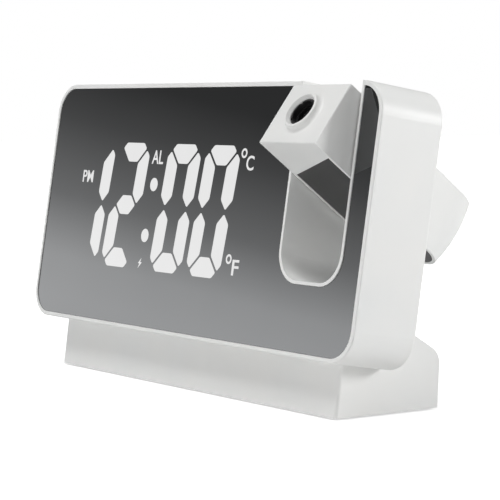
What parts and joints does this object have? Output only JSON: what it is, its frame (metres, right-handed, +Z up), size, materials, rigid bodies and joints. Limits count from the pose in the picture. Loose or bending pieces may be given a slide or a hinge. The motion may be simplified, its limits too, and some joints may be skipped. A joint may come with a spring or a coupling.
{
  "type": "projection alarm clock",
  "caption": "Digital alarm clock with a dark mirror front, leaning back on a wedge base, and a swinging projector arm set in a slot in its top.",
  "frame": {"origin": "on the surface that the feet stand on, under the middle of the clock's width and depth", "axes": "+X to the right as seen from the front, +Y to the back, +Z up"},
  "size_m": [0.19, 0.0644, 0.1021],
  "materials": {
    "white_abs": "fine moulded satin",
    "mirror_acrylic": "half-silvered, polished",
    "smoked_acrylic": "smoked, polished",
    "key_plastic": "moulded satin",
    "black_plastic": "moulded satin",
    "reflector_white": "moulded matt",
    "circuit_board": "solder mask",
    "lamp_chip": "moulded epoxy",
    "zinc_steel": "zinc plated",
    "acetal": "turned",
    "clear_glass": "polished",
    "foot_rubber": "moulded matt"
  },
  "bodies": {
    "clock": {"front_frame": "white_abs", "mirror_panel": "mirror_acrylic", "arm_trough": "white_abs", "rear_cover": "white_abs", "rear_screws": "zinc_steel", "display_reflector": "reflector_white", "display_board": "circuit_board", "segment_lamps": "lamp_chip", "key_switches": "black_plastic", "key_board": "circuit_board", "snooze_switch": "black_plastic", "buzzer": "black_plastic", "base_shell": "white_abs", "base_plate": "white_abs", "base_screws": "zinc_steel", "rubber_feet": "foot_rubber", "base_weight": "zinc_steel", "neck_screws": "zinc_steel", "power_socket": "zinc_steel", "socket_board": "circuit_board", "battery_door": "white_abs", "coin_cell": "zinc_steel", "cell_contact": "zinc_steel"},
    "projector_arm": {"arm_shell": "white_abs", "arm_cover": "white_abs", "arm_window": "smoked_acrylic", "optics_holder": "black_plastic", "picture_slide": "clear_glass", "condenser_lens": "clear_glass", "lamp_board": "circuit_board", "projector_lamp": "lamp_chip", "pivot_pin_left": "acetal", "pivot_pin_right": "acetal", "pivot_washer_left": "acetal", "pivot_washer_right": "acetal", "pivot_clip_left": "zinc_steel", "pivot_clip_right": "zinc_steel"},
    "focus_ring": {"focus_ring": "black_plastic", "projection_lens": "clear_glass", "lens_clip_ring": "black_plastic"},
    "key_time": {"key_time": "key_plastic"},
    "key_alarm": {"key_alarm": "key_plastic"},
    "key_up": {"key_up": "key_plastic"},
    "key_down": {"key_down": "key_plastic"},
    "key_projector": {"key_projector": "key_plastic"},
    "snooze_key": {"snooze_key": "key_plastic"}
  },
  "joints": [
    {"name": "arm_swing", "type": "hinge", "parent": "clock", "child": "projector_arm", "pos_m": [0.0691, -0.00569, 0.0782], "axis": [1, 0, 0], "range_deg": [-151.8, 28.2]},
    {"name": "focus_turn", "type": "hinge", "parent": "projector_arm", "child": "focus_ring", "pos_m": [0.0691, -0.02573, 0.09216], "axis": [0, -0.7965, 0.6046], "range_deg": [-120, 120]},
    {"name": "key_time_press", "type": "slide", "parent": "clock", "child": "key_time", "axis": [0, -0.9877, 0.1564], "range_m": [0, 0.0006], "stiffness_N_per_m": 300, "springref_m": -0.0006},
    {"name": "key_alarm_press", "type": "slide", "parent": "clock", "child": "key_alarm", "axis": [0, -0.9877, 0.1564], "range_m": [0, 0.0006], "stiffness_N_per_m": 300, "springref_m": -0.0006},
    {"name": "key_up_press", "type": "slide", "parent": "clock", "child": "key_up", "axis": [0, -0.9877, 0.1564], "range_m": [0, 0.0006], "stiffness_N_per_m": 300, "springref_m": -0.0006},
    {"name": "key_down_press", "type": "slide", "parent": "clock", "child": "key_down", "axis": [0, -0.9877, 0.1564], "range_m": [0, 0.0006], "stiffness_N_per_m": 300, "springref_m": -0.0006},
    {"name": "key_projector_press", "type": "slide", "parent": "clock", "child": "key_projector", "axis": [0, -0.9877, 0.1564], "range_m": [0, 0.0006], "stiffness_N_per_m": 300, "springref_m": -0.0006},
    {"name": "snooze_key_press", "type": "slide", "parent": "clock", "child": "snooze_key", "axis": [0, -0.1564, -0.9877], "range_m": [0, 0.0006], "stiffness_N_per_m": 300, "springref_m": -0.0006}
  ]
}
